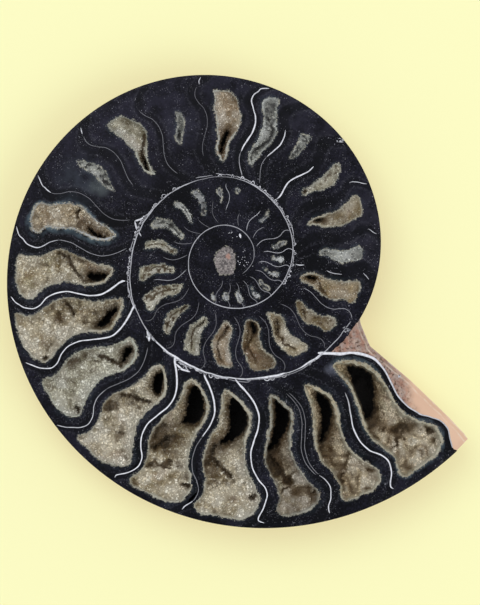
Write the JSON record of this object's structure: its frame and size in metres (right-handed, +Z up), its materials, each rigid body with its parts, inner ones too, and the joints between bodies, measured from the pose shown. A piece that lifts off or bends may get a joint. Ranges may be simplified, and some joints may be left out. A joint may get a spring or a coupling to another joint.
{
  "type": "fossil ammonite half",
  "caption": "Sawn and polished half of a coiled fossil ammonite in dark stone, its open chambers lined with druse, lying on its convex back.",
  "frame": {"origin": "middle of the bounding box, on the surface that the convex back rests on", "axes": "+Z up, square to the polished cut face; +X to the broken end of the last whorl, +Y away from it"},
  "size_m": [0.1294, 0.127, 0.0155],
  "materials": {
    "stone": "polished near-black stone with a purple-blue tint, fine pale dust and white calcite septa; the back is matt brown-black",
    "sediment": "pink and grey sediment, ground flat, mottled and pitted towards the whorl and smooth at the tip",
    "druse": "sugary tan-grey crystal crust with small sparkles, paler at its rim and brown in the pits"
  },
  "bodies": {
    "root": {"shell_stone": "stone", "matrix": "sediment", "druse_01": "druse", "druse_02": "druse", "druse_03": "druse", "druse_04": "druse", "druse_05": "druse", "druse_06": "druse", "druse_07": "druse", "druse_08": "druse", "druse_09": "druse", "druse_10": "druse", "druse_11": "druse", "druse_12": "druse", "druse_13": "druse", "druse_14": "druse", "druse_15": "druse", "druse_16": "druse", "druse_17": "druse", "druse_18": "druse", "druse_19": "druse", "druse_20": "druse", "druse_21": "druse", "druse_22": "druse", "druse_23": "druse", "druse_24": "druse", "druse_25": "druse", "druse_26": "druse", "druse_27": "druse", "druse_28": "druse", "druse_29": "druse", "druse_30": "druse", "druse_31": "druse"}
  },
  "joints": []
}
